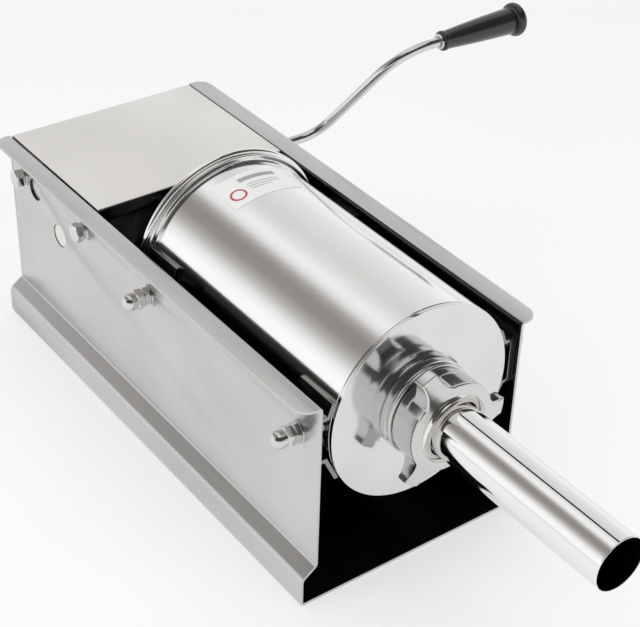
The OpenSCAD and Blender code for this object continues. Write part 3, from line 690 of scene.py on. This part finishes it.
class STUFFER_OT_cylinder(StufferOperator, bpy.types.Operator):
    """Turns the meat cylinder with its rolled rim, the end disc and the blank label"""

    bl_idname = "stuffer.cylinder"
    bl_label = "Meat cylinder"

    def execute(self, context):
        sizes = context.scene.stuffer_sizes
        radius = (DISC_HIGH.x - DISC_LOW.x) / 2
        wall = 1.5 * MM
        length = CYL_HIGH.y - DISC_FACE
        front = CYL_LOW.y - DISC_FACE
        bead = 2.7 * MM
        rim = 6.5 * MM
        ring = 4.5 * MM
        ring_at = length - 2 * bead - 4 * MM
        groove = 0.45 * MM
        profile = [(radius - wall, front), (radius - groove, front), (radius, front + groove)]
        profile += arc((radius + 1.2 * MM, ring_at - 1.2 * MM), 1.2 * MM, 180, 90, 4)
        profile += arc((radius + ring - 1.1 * MM, ring_at + 1.1 * MM), 1.1 * MM, -90, 60, 7)
        profile += [(radius + 1.4 * MM, length - 2 * bead - 0.9 * MM)]
        profile += [(radius + 1.2 * MM, length - 2 * bead)]
        profile += arc((radius + rim - bead, length - bead), bead, -90, 90, 14)
        profile += arc((radius - wall + 1 * MM, length - 1 * MM), 1 * MM, 90, 180, 5)
        obj = turned(profile, sizes.smoothness)
        place(obj, BACK, (0, DISC_FACE, AXIS_Z))
        hand_over(
            obj, "meat_cylinder_rolled", "body", "cylinder",
            ["meat_cylinder"], 50)
        bore = 28.05 * MM
        thick = DISC_HIGH.y - DISC_LOW.y
        disc = turned([
            (bore, 0), (radius - 0.5 * MM, 0), (radius - 0.15 * MM, 0.15 * MM), (radius, 0.5 * MM),
            (radius, thick - groove), (radius - groove, thick), (bore, thick)], sizes.smoothness)
        place(disc, BACK, (0, DISC_FACE, AXIS_Z))
        hand_over(
            disc, "end_disc_polished", "body", "disc",
            ["cylinder_end_disc"], 30)
        self.label(radius)
        return {"FINISHED"}

    def label(self, radius):
        """A plain film label that wraps the cylinder near its rim, with a bar, lines and a ring."""
        rows = (
            ("label_film", "label", 0.10, (68, 113), (-31, 2)),
            ("label_bar", "label_line", 0.18, (74, 98), (-8, -3.5)),
            ("label_line_upper", "label_line", 0.18, (76, 96), (-13.6, -12.9)),
            ("label_line_middle", "label_line", 0.18, (76, 96), (-16.6, -15.9)),
            ("label_line_lower", "label_line", 0.18, (82, 96), (-19.6, -18.9)),
        )
        for name, finish, lift, around, along in rows:
            deselect()
            bpy.ops.mesh.primitive_grid_add(x_subdivisions=28, y_subdivisions=2, size=1)
            self.wrap(bpy.context.object, name, finish, radius + lift * MM, around, along)
        deselect()
        bpy.ops.mesh.primitive_torus_add(
            major_segments=48, minor_segments=8, major_radius=0.42, minor_radius=0.06)
        self.wrap(
            bpy.context.object, "label_ring", "label_dot", radius + 0.18 * MM, (99.5, 110),
            (-25.5, -12.5))

    def wrap(self, obj, name, finish, reach, around, along):
        """Bends a flat unit piece round the cylinder, between two angles and two places."""
        for vertex in obj.data.vertices:
            u, v = vertex.co.x + 0.5, vertex.co.y + 0.5
            angle = math.radians(around[0] + (around[1] - around[0]) * u)
            lift = reach + vertex.co.z * 1 * MM
            y = (along[0] + (along[1] - along[0]) * v) * MM
            vertex.co = (lift * math.cos(angle), y, AXIS_Z + lift * math.sin(angle))
        if "ring" not in name:
            modify(obj, "SOLIDIFY", thickness=0.06 * MM, offset=0)
        close_up(obj, FINE)
        hand_over(obj, name, "body", finish)


class STUFFER_OT_outlet(StufferOperator, bpy.types.Operator):
    """Turns the outlet with its collar, cuts its thread and makes the gasket"""

    bl_idname = "stuffer.outlet"
    bl_label = "Outlet"

    def execute(self, context):
        sizes = context.scene.stuffer_sizes
        radius, bore = 28 * MM, 22.5 * MM
        reach = DISC_FACE - SPOUT_LOW.y
        collar, width = 33.5 * MM, 9.5 * MM
        root = radius - 1.3 * MM
        profile = [
            (bore, -3 * MM), (radius, -3 * MM), (radius, 0), (collar - 0.8 * MM, 0)]
        profile += arc((collar - 1.2 * MM, 1.2 * MM), 1.2 * MM, -90, 0, 4)
        waist = collar - 0.9 * MM
        profile += [(collar, 5.0 * MM), (waist, 5.4 * MM), (waist, 6.2 * MM)]
        profile += arc((collar - 1.2 * MM, width - 1.2 * MM), 1.2 * MM, 0, 90, 4)
        profile += [
            (root, width), (root, reach - 0.6 * MM), (root - 0.6 * MM, reach), (bore, reach)]
        obj = turned(profile, sizes.smoothness)
        thread = self.thread(root, radius, width + 1 * MM, reach - 2 * MM, sizes.thread_pitch)
        obj = join([obj, thread])
        place(obj, FRONT, (0, DISC_FACE, AXIS_Z))
        hand_over(
            obj, "outlet_threaded", "body", "spout", ["outlet_spout"], 30)
        gasket = from_node("tube_gasket", 0.15)
        hand_over(gasket, "gasket_ring", "body", "rubber", ["tube_gasket"])
        return {"FINISHED"}

    def thread(self, root, crest, start, end, pitch):
        """A trapezoid swept up a helix."""
        deselect()
        half = pitch * 0.36
        bpy.ops.mesh.primitive_plane_add(size=1)
        obj = bpy.context.object
        sunk, flat = root - 0.4 * MM, half * 0.35
        corners = [(sunk, -half), (sunk, half), (crest, -flat), (crest, flat)]
        for vertex, (r, z) in zip(obj.data.vertices, corners):
            vertex.co = (r, 0, start + half + z)
        turns = (end - start - 2 * half) / pitch
        modify(
            obj, "SCREW", axis="Z", angle=math.tau * turns, screw_offset=pitch * turns,
            steps=int(72 * turns), render_steps=int(72 * turns), use_normal_calculate=True)
        return close_up(obj, FINE)


class STUFFER_OT_filling_tube(StufferOperator, bpy.types.Operator):
    """Turns the filling tube with its bell and flange"""

    bl_idname = "stuffer.filling_tube"
    bl_label = "Filling tube"

    def execute(self, context):
        sizes = context.scene.stuffer_sizes
        radius, wall = 19.1 * MM, 1 * MM
        foot = DISC_FACE - TUBE_HIGH.y
        reach = DISC_FACE - TUBE_LOW.y
        rim, thick, bell = 27.8 * MM, 2.5 * MM, 5.5 * MM
        profile = [(radius + 2.9 * MM, foot)]
        profile += arc((rim - 0.5 * MM, foot + 0.5 * MM), 0.5 * MM, -90, 0, 3)
        profile += arc((rim - 0.5 * MM, foot + thick - 0.5 * MM), 0.5 * MM, 0, 90, 3)
        profile += arc((radius + bell, foot + thick + bell), bell, -90, -180, 12)
        profile += arc((radius - wall / 2, reach - wall / 2), wall / 2, 0, 180, 8)
        profile += arc((radius + bell, foot + thick + bell), bell + wall, 180, 232, 10)
        obj = turned(profile, sizes.smoothness)
        place(obj, FRONT, (0, DISC_FACE, AXIS_Z))
        dress(obj, "tube", "bore")
        for face in obj.data.polygons:
            out = Vector((face.center.x, 0, face.center.z - AXIS_Z))
            if out.dot(face.normal) < -0.5 * out.length and out.length < radius - wall * 0.7:
                face.material_index = 1
        hand_over(
            obj, "filling_tube_polished", "filling_tube", "tube",
            ["filling_tube"], 50)
        return {"FINISHED"}


class STUFFER_OT_ring_nut(StufferOperator, bpy.types.Operator):
    """Rounds the winged ring nut as a casting"""

    bl_idname = "stuffer.ring_nut"
    bl_label = "Ring nut"

    def execute(self, context):
        obj = from_node("ring_nut", 0)
        modify(obj, "REMESH", mode="VOXEL", voxel_size=0.55 * MM, use_smooth_shade=True)
        modify(obj, "SMOOTH", factor=0.6, iterations=10)
        hand_over(obj, "ring_nut_cast", "ring_nut", "cast", ["ring_nut"], 80)
        return {"FINISHED"}


class STUFFER_OT_clips(StufferOperator, bpy.types.Operator):
    """Rounds the four spring clips"""

    bl_idname = "stuffer.clips"
    bl_label = "Spring clips"

    def execute(self, context):
        for name in ("front_left_clip", "front_right_clip", "rear_left_clip", "rear_right_clip"):
            obj = from_node(name, 0.7, 3)
            hand_over(obj, name + "_bent", "body", "clip", [name])
        return {"FINISHED"}


def hex_blank(flats, height, top=True, bottom=False):
    """Hexagon whose corners are turned off at its faces, along +Z from z = 0."""
    corner = flats / 2 / math.cos(math.pi / 6)
    deselect()
    bpy.ops.mesh.primitive_cylinder_add(
        vertices=6, radius=corner, depth=height, location=(0, 0, height / 2))
    obj = settle(bpy.context.object)
    fall = (corner * 1.1 - flats * 0.48) * math.tan(math.radians(30))
    profile = [(0, 0)]
    profile += [(flats * 0.48, 0), (corner * 1.1, fall)] if bottom else [(corner * 1.1, 0)]
    profile += [(corner * 1.1, height - fall), (flats * 0.48, height)] if top else [
        (corner * 1.1, height)]
    profile += [(0, height)]
    cut(obj, turned(profile, 96, False), "INTERSECT")
    return soften(obj, 0.12 * MM, 2, 25)


class STUFFER_OT_fasteners(StufferOperator, bpy.types.Operator):
    """Makes the wall bolts, washers, spring washers, jam nuts and dome nuts"""

    bl_idname = "stuffer.fasteners"
    bl_label = "Fasteners"

    def execute(self, context):
        washer_t, spring_t, jam_t, flats = 1.6 * MM, 2 * MM, 4 * MM, 13 * MM
        washer = turned([
            (BOLT_HOLE, 0), (7.6 * MM, 0), (WASHER_R, 0.2 * MM), (WASHER_R, 1.3 * MM),
            (7.5 * MM, washer_t), (BOLT_HOLE, washer_t)], 72)
        spring = self.split_washer(spring_t)
        head = hex_blank(flats, 5.3 * MM)
        jam = hex_blank(flats, jam_t, True, True)
        dome = self.dome_nut(flats)
        clip_y, bolt_y, bolt_z = bolt_places()
        stacks = (
            (clip_y, AXIS_Z, 0.33, (
                ("clip_washers", washer, 0, None), ("clip_jam_nuts", jam, washer_t, 0),
                ("dome_nuts", dome, washer_t + jam_t, 0.12))),
            (bolt_y, bolt_z, 0.41, (
                ("gearbox_washers", washer, 0, None), ("spring_washers", spring, washer_t, 0),
                ("gearbox_bolts", head, washer_t + spring_t, 0))))
        groups = {}
        turn = 0.0
        for facing, sign in ((RIGHT, 1), (LEFT, -1)):
            for places, z, gain, stack in stacks:
                for y in places:
                    for node, piece, lift, more in stack:
                        at = Vector((sign * WALL_OUT, y, z)) + Vector((sign, 0, 0)) * lift
                        spin = 0 if more is None else turn + more
                        groups.setdefault(node, []).append(copy_at(piece, facing, at, spin))
                    turn += gain
        discard(washer, spring, head, jam, dome)
        for node, parts in groups.items():
            obj = join(parts)
            if node == "gearbox_bolts":
                obj = join([obj, *self.shanks(bolt_y, bolt_z)])
            hand_over(obj, node + "_bright", "body", "chrome", [node], 28)
        for node, edge in (("clip_bolts", 0.5), ("gearbox_nuts", 0.3)):
            obj = from_node(node, edge)
            hand_over(obj, node + "_bright", "body", "chrome", [node])
        return {"FINISHED"}

    def split_washer(self, thick):
        ring = turned([
            (4.2 * MM, 0), (6.7 * MM, 0), (6.8 * MM, 0.2 * MM), (6.8 * MM, thick - 0.2 * MM),
            (6.7 * MM, thick), (4.2 * MM, thick)], 60)
        return cut(ring, block((8 * MM, 0.9 * MM, 6 * MM), (6 * MM, 0, thick / 2), (0.5, 0, 0)))

    def dome_nut(self, flats):
        base = hex_blank(flats, 6 * MM, True, True)
        radius = flats / 2 - 0.3 * MM
        profile = [(0, 5.4 * MM), (radius, 5.4 * MM), (radius, 9 * MM)]
        profile += arc((0, 9 * MM), radius, 0, 90, 14)[1:]
        cap = turned(profile, 72, False)
        return join([base, cap])

    def shanks(self, bolt_y, z):
        parts = []
        for facing, sign in ((RIGHT, 1), (LEFT, -1)):
            for y in bolt_y:
                shank = turned([
                    (0, 0), (3.4 * MM, 0), (4 * MM, 0.6 * MM), (4 * MM, 17 * MM), (0, 17 * MM)],
                    48, False)
                parts.append(place(shank, facing, (sign * (WALL_OUT - 13.4 * MM), y, z)))
        return parts


class STUFFER_OT_gearbox(StufferOperator, bpy.types.Operator):
    """Breaks the edges of the gearbox plates, guides, shafts and gears"""

    bl_idname = "stuffer.gearbox"
    bl_label = "Gearbox"

    def execute(self, context):
        rows = (
            # The front plate and the two bearing plates take the near-black plate finish: painted
            # shade; the rear plate, seen through a wall hole, keeps the light sheet colour
            ("gearbox_front_plate", 0.4, "body", "plate_steel", "plate"),
            ("gearbox_rear_plate", 0.4, "body", "plate_steel", "tab"),
            ("left_bearing_plate", 0.4, "body", "plate_steel", "plate"),
            ("right_bearing_plate", 0.4, "body", "plate_steel", "plate"),
            ("plate_bushes", 0.25, "body", "bush_nylon", "nylon"),
            ("rack_slide_block", 0.6, "body", "bush_nylon", "nylon"),
            ("rack_guide", 0.6, "body", "bush_nylon", "nylon"),
            ("guide_screws", 0.3, "body", "fastener_steel", "chrome"),
            ("rack", 0.25, "piston", "gear_steel", "gear"),
            ("pinion_shaft", 0.6, "pinion_shaft", "rod_steel", "rod"),
            ("rack_pinion", 0.2, "pinion_shaft", "gear_steel", "gear"),
            ("large_gear", 0.15, "pinion_shaft", "gear_steel", "gear"),
            ("pinion_shaft_collars", 0.4, "pinion_shaft", "fastener_steel", "chrome"),
            ("crank_shaft", 0.6, "crank", "rod_steel", "rod"),
            ("crank_gear", 0.15, "crank", "gear_steel", "gear"),
            ("crank_shaft_collar", 0.4, "crank", "fastener_steel", "chrome"),
        )
        for node, edge, body, slot, finish in rows:
            obj = from_node(node, edge)
            if node == "pinion_shaft":
                self.draw_back(obj, 1.7 * MM, left_only=True)
            hand_over(obj, node + "_finished", body, finish, [node])
        bushes = from_node("wall_bushes", 0.25)
        self.draw_back(bushes, 1.0 * MM)
        cap = turned([
            (0, 0), (9.1 * MM, 0), (9.1 * MM, 0.7 * MM), (8.9 * MM, 0.9 * MM), (0, 0.9 * MM)],
            64, False)
        place(cap, LEFT, (-WALL_OUT + 1.7 * MM, PINION_MID.y, PINION_MID.z))
        bushes = join([bushes, cap])
        hand_over(
            bushes, "wall_bushes_finished", "body", "nylon", ["wall_bushes"])
        return {"FINISHED"}

    def draw_back(self, obj, step, left_only=False):
        """Sets the faces that lie flush with the walls' outside back into the walls' holes."""
        for vertex in obj.data.vertices:
            near = abs(abs(vertex.co.x) - WALL_OUT) < 0.7 * MM
            if near and (vertex.co.x < 0 or not left_only):
                vertex.co.x -= math.copysign(step, vertex.co.x)


class STUFFER_OT_piston(StufferOperator, bpy.types.Operator):
    """Finishes the piston's plates, lipped seal, nut and air valve"""

    bl_idname = "stuffer.piston"
    bl_label = "Piston"

    def execute(self, context):
        rows = (
            ("piston_front_plate", 0.8, "polished_steel", "disc"),
            ("piston_seal", 0.6, "seal_rubber", "rubber"),
            ("piston_back_plate", 0.8, "plate_steel", "disc"),
            ("piston_nut", 0.5, "fastener_steel", "chrome"),
            ("air_valve", 0.8, "bush_nylon", "nylon"),
        )
        for node, edge, slot, finish in rows:
            obj = from_node(node, edge, 3)
            hand_over(obj, node + "_finished", "piston", finish, [node])
        return {"FINISHED"}


class STUFFER_OT_crank(StufferOperator, bpy.types.Operator):
    """Finishes the crank's hub, knurled thumb screw, rod and washers"""

    bl_idname = "stuffer.crank"
    bl_label = "Crank"

    def execute(self, context):
        hub = from_node("crank_hub", 0.5, 3)
        hand_over(hub, "crank_hub_turned", "crank", "rod", ["crank_hub"])
        rod = from_node("crank_rod", 0)
        hand_over(rod, "crank_rod_bent", "crank", "rod", ["crank_rod"], 50)
        screw = self.knurled(from_node("thumb_screw", 0.35))
        for node, obj in (
                ("thumb_screw", screw), ("grip_washers", from_node("grip_washers", 0.3))):
            hand_over(obj, node + "_finished", "crank", "chrome", [node])
        return {"FINISHED"}

    def knurled(self, screw):
        """Presses grooves into the rim of the thumb screw's head."""
        low, high, _ = span("thumb_screw")
        along = GRIP_MID - CRANK_MID
        along.x = 0
        along.normalize()
        across = along.cross(RIGHTWARD)
        tip = CRANK_MID - along * 12.5 * MM
        tip.x = (low.x + high.x) / 2
        tools = []
        grooves = 20
        for i in range(grooves):
            angle = math.tau * i / grooves
            at = tip + (RIGHTWARD * math.cos(angle) + across * math.sin(angle)) * 5.3 * MM
            deselect()
            bpy.ops.mesh.primitive_cylinder_add(
                vertices=8, radius=0.55 * MM, depth=8 * MM, location=at,
                rotation=along.to_track_quat("Z", "Y").to_euler())
            tools.append(settle(bpy.context.object))
        return cut(screw, join(tools))


class STUFFER_OT_grip(StufferOperator, bpy.types.Operator):
    """Turns the crank's moulded grip"""

    bl_idname = "stuffer.grip"
    bl_label = "Grip"

    def execute(self, context):
        length = GRIP_HIGH.x - GRIP_LOW.x
        bore = 4.1 * MM
        narrow, wide = 8 * MM, 10.75 * MM
        flange = 13.75 * MM
        profile = [(bore, 0), (narrow - 0.9 * MM, 0), (narrow - 0.3 * MM, 0.5 * MM)]
        profile += [(narrow, 1.4 * MM), (narrow, 3.2 * MM), (narrow - 0.3 * MM, 3.7 * MM)]
        profile += [(narrow - 0.9 * MM, 4.1 * MM), (narrow - 0.8 * MM, 4.8 * MM)]
        steps = 8
        for i in range(steps + 1):
            share = i / steps
            swell = 0.35 * MM * math.sin(math.pi * share)
            profile.append(
                (narrow - 0.6 * MM + (wide - narrow + 0.6 * MM) * share + swell,
                 6 * MM + (length - 19 * MM) * share))
        profile += [(wide - 0.4 * MM, length - 12.1 * MM), (wide - 1.4 * MM, length - 11.4 * MM)]
        profile += [(wide - 1.5 * MM, length - 10.4 * MM)]
        profile += arc((flange - 4.5 * MM, length - 5.5 * MM), 4.5 * MM, -75, 80, 14)
        profile += [(bore + 1.2 * MM, length - 0.9 * MM), (bore, length - 0.9 * MM)]
        obj = turned(profile, 96)
        place(obj, RIGHT, (GRIP_LOW.x, GRIP_MID.y, GRIP_MID.z))
        hand_over(obj, "grip_moulded", "grip", "grip", ["crank_grip"], 40)
        return {"FINISHED"}


# Stage


class STUFFER_OT_stage(StufferOperator, bpy.types.Operator):
    """Lays the floor and sets the studio light and the camera"""

    bl_idname = "stuffer.stage"
    bl_label = "Stage"

    def execute(self, context):
        stage = context.scene.stuffer_stage
        self.floor(stage)
        self.sky(context)
        self.flag()
        self.lights()
        self.camera(context, stage)
        context.scene.view_settings.view_transform = "Standard"
        return {"FINISHED"}

    def floor(self, stage):
        deselect()
        bpy.ops.mesh.primitive_plane_add(size=stage.floor_size, location=(0, 0, -0.0002))
        obj = settle(bpy.context.object)
        obj.name = "studio_floor"
        finish = Finish("floor_light_table").set(
            Roughness=0.9, Specular_IOR_Level=0.0, Emission_Color=(1, 1, 1, 1),
            Emission_Strength=0.57)
        finish.blend(finish.noise((3, 3, 3), 2.0), (0.44, 0.44, 0.44), (0.46, 0.46, 0.46))
        obj.data.materials.append(finish.material)

    def sky(self, context):
        """A studio tent: long soft panels from side to side at the back, a dark room in front."""
        world = bpy.data.worlds.new("studio_tent")
        context.scene.world = world
        world.use_nodes = True
        tree = Nodes(world.node_tree)
        coords = tree.add("ShaderNodeTexCoord").outputs["Generated"]
        split = tree.add("ShaderNodeSeparateXYZ", {"Vector": coords}).outputs
        angle = tree.add("ShaderNodeMath", {0: split["Z"], 1: split["X"]}, operation="ARCTAN2")
        back = self.ramp(tree, angle.outputs["Value"], math.pi, (
            (-180, 0.96), (-60, 0.96), (-25, 1.0), (10, 1.0), (30, 0.86), (46, 0.80), (64, 0.74),
            (76, 0.80), (92, 1.0), (101, 0.86), (110, 0.42), (119, 0.29), (131, 0.31), (142, 0.5),
            (156, 0.93), (166, 1.08), (180, 1.08)))
        front = self.ramp(tree, split["Z"], 1, (
            (-1, 0.95), (0.20, 0.95), (0.27, 0.10), (0.84, 0.05), (0.90, 0.8), (1, 0.9)))
        facing = tree.add(
            "ShaderNodeMapRange", {"Value": split["Y"], "From Min": 0.16, "From Max": -0.02},
            interpolation_type="SMOOTHSTEP")
        room = tree.add("ShaderNodeMixRGB", {
            "Fac": facing.outputs["Result"], "Color1": back, "Color2": front})
        background = tree.nodes["Background"]
        tree.feed(background, {"Color": room.outputs["Color"]})
        pale = tree.add("ShaderNodeBackground", {"Color": (0.99, 0.99, 0.99, 1)})
        mix = tree.add("ShaderNodeMixShader", {
            "Fac": tree.add("ShaderNodeLightPath").outputs["Is Camera Ray"],
            1: background.outputs["Background"], 2: pale.outputs["Background"]})
        tree.feed(tree.nodes["World Output"], {"Surface": mix.outputs["Shader"]})

    def ramp(self, tree, value, reach, stops):
        """Brightness along one measure of the direction; darker stops are a little warmer."""
        share = tree.add("ShaderNodeMapRange", {
            "Value": value, "From Min": -reach, "From Max": reach})
        ramp = tree.add("ShaderNodeValToRGB", {"Fac": share.outputs["Result"]})
        elements = ramp.color_ramp.elements
        while len(elements) > 1:
            elements.remove(elements[0])
        end = stops[-1][0]
        for i, (stop, bright) in enumerate(stops):
            position = (stop + end) / (2 * end)
            element = elements[0] if i == 0 else elements.new(position)
            element.position = position
            warmth = 0.05 * (1 - min(1, bright))
            element.color = (bright, bright * (1 - warmth), bright * (1 - 1.8 * warmth), 1)
        return ramp.outputs["Color"]

    def flag(self):
        """A narrow black card over the filling tube that only reflections see."""
        deselect()
        bpy.ops.mesh.primitive_plane_add(size=1, location=(0.10, -0.135, 0.45))
        obj = bpy.context.object
        obj.scale = (0.04, 0.27, 1)
        settle(obj)
        obj.name = "studio_flag"
        obj.data.materials.append(Finish("flag_black").set(
            Base_Color=(0.01, 0.01, 0.01, 1), Roughness=1.0, Specular_IOR_Level=0.0).material)
        obj.visible_camera = False
        obj.visible_diffuse = False
        obj.visible_shadow = False

    def lights(self):
        rows = (
            ("key_left", (-1.1, -0.3, 1.5), 1.4, 9),
            ("fill_front", (0.5, -1.6, 1.2), 1.4, 6),
            ("top", (0.2, 0.3, 2.0), 1.6, 7))
        for name, at, size, watts in rows:
            light = bpy.data.lights.new(name, "AREA")
            light.shape = "DISK"
            light.size = size
            light.energy = watts
            obj = bpy.data.objects.new(name, light)
            bpy.context.scene.collection.objects.link(obj)
            obj.location = at
            aim = Vector((0, 0, 0.08)) - Vector(at)
            obj.rotation_euler = aim.to_track_quat("-Z", "Y").to_euler()
            obj.visible_glossy = False

    def camera(self, context, stage):
        camera = bpy.data.cameras.new("camera")
        camera.sensor_width = 36
        camera.lens = stage.lens
        camera.shift_x = 0.0015
        camera.shift_y = -0.0135
        camera.clip_end = 50
        obj = bpy.data.objects.new("camera", camera)
        context.scene.collection.objects.link(obj)
        turn = (
            Matrix.Rotation(stage.azimuth, 4, "Z")
            @ Matrix.Rotation(math.pi / 2 - stage.elevation, 4, "X")
            @ Matrix.Rotation(stage.roll, 4, "Z"))
        obj.matrix_world = Matrix.Translation((-0.5444, -0.8164, 0.7605)) @ turn
        context.scene.camera = obj


# Panel and registration

PIECES = (
    STUFFER_OT_body,
    STUFFER_OT_cover,
    STUFFER_OT_cylinder,
    STUFFER_OT_outlet,
    STUFFER_OT_filling_tube,
    STUFFER_OT_ring_nut,
    STUFFER_OT_clips,
    STUFFER_OT_fasteners,
    STUFFER_OT_gearbox,
    STUFFER_OT_piston,
    STUFFER_OT_crank,
    STUFFER_OT_grip,
)


class STUFFER_PT_panel(bpy.types.Panel):
    """Lists the pieces and the stage"""

    bl_label = "Sausage stuffer"
    bl_idname = "STUFFER_PT_panel"
    bl_space_type = "VIEW_3D"
    bl_region_type = "UI"
    bl_category = "Stuffer"

    def draw(self, context):
        for key in GROUPS:
            group = getattr(context.scene, key)
            box = self.layout.box()
            for name in group.__annotations__:
                box.prop(group, name)
        for operator in PIECES + (STUFFER_OT_stage,):
            self.layout.operator(operator.bl_idname)


GROUPS = {
    "stuffer_sizes": StufferSizes, "stuffer_look": StufferLook, "stuffer_stage": StufferStage}
CLASSES = (*GROUPS.values(), *PIECES, STUFFER_OT_stage, STUFFER_PT_panel)


def register():
    for cls in CLASSES:
        bpy.utils.register_class(cls)
    for key, group in GROUPS.items():
        setattr(bpy.types.Scene, key, PointerProperty(type=group))


def unregister():
    for key in GROUPS:
        delattr(bpy.types.Scene, key)
    for cls in reversed(CLASSES):
        bpy.utils.unregister_class(cls)


def main():
    register()
    bpy.ops.stuffer.stage()
    FINISH.update(make_finishes(bpy.context.scene.stuffer_look))
    bpy.ops.stuffer.body()
    bpy.ops.stuffer.cover()
    bpy.ops.stuffer.cylinder()
    bpy.ops.stuffer.outlet()
    bpy.ops.stuffer.filling_tube()
    bpy.ops.stuffer.ring_nut()
    bpy.ops.stuffer.clips()
    bpy.ops.stuffer.fasteners()
    bpy.ops.stuffer.gearbox()
    bpy.ops.stuffer.piston()
    bpy.ops.stuffer.crank()
    bpy.ops.stuffer.grip()


if __name__ == "__main__":
    main()
